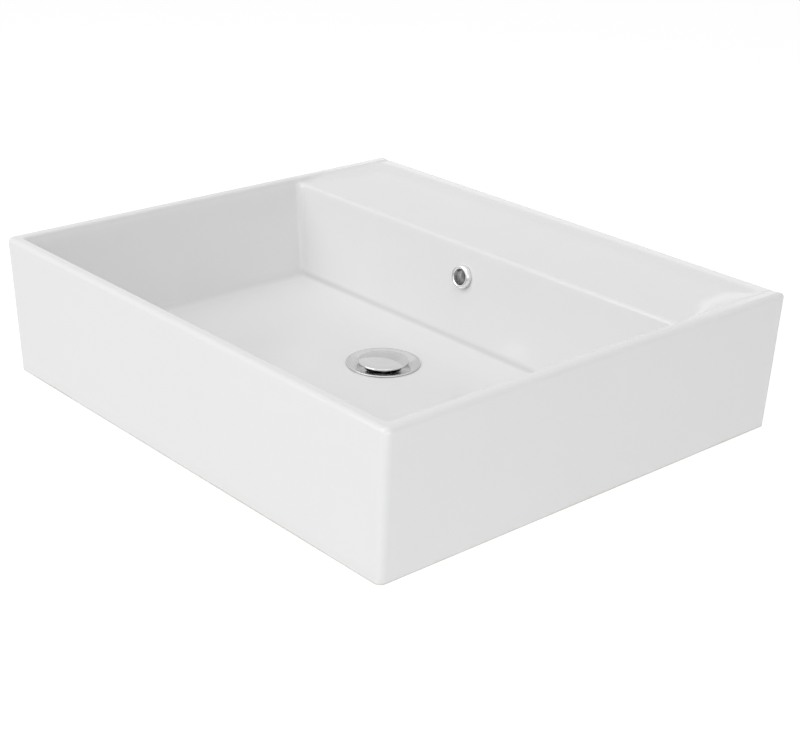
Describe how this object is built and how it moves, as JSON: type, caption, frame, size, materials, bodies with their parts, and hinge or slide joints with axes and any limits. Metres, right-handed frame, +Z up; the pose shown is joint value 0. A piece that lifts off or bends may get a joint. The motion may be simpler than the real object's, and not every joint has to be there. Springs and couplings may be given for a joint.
{
  "type": "wall-hung basin",
  "caption": "Rectangular wall-hung ceramic basin with a tap ledge, an overflow and a pop-up waste, with its wall bolts.",
  "frame": {"origin": "on the wall plane, midway between the two wall bolts", "axes": "+Y into the wall, -Y out into the room, +Z up, +X along the basin's width"},
  "size_m": [0.5096, 0.4949, 0.164],
  "materials": {
    "glaze": "gloss",
    "chrome": "polished",
    "rubber": "matte",
    "white_plastic": "matte",
    "acetal": "satin",
    "brass": "satin",
    "zinc_steel": "satin",
    "spring_steel": "satin"
  },
  "bodies": {
    "basin": {"basin_body": "glaze", "overflow_ring": "chrome", "waste_body": "chrome", "flange_gasket": "rubber", "taper_washer": "rubber", "slip_washer": "white_plastic", "back_nut": "brass", "cartridge_housing": "chrome", "cartridge_gland": "white_plastic", "cartridge_nut": "brass", "return_spring": "spring_steel", "wall_bolts": "zinc_steel", "bolt_sleeves": "white_plastic", "bolt_washers": "zinc_steel", "bolt_nuts": "zinc_steel"},
    "plug": {"pop_up_cap": "chrome", "cap_seal": "rubber", "cap_lock_nut": "brass", "plunger": "acetal"},
    "cam_ring": {"index_cam": "acetal"}
  },
  "joints": [
    {"name": "plug_travel", "type": "slide", "parent": "basin", "child": "plug", "axis": [0, 0, 1], "range_m": [-0.00275, 0], "deforming": ["return_spring"]},
    {"name": "cam_index", "type": "hinge", "parent": "plug", "child": "cam_ring", "pos_m": [0, -0.216, -0.0488], "axis": [0, 0, 1], "continuous": true}
  ]
}
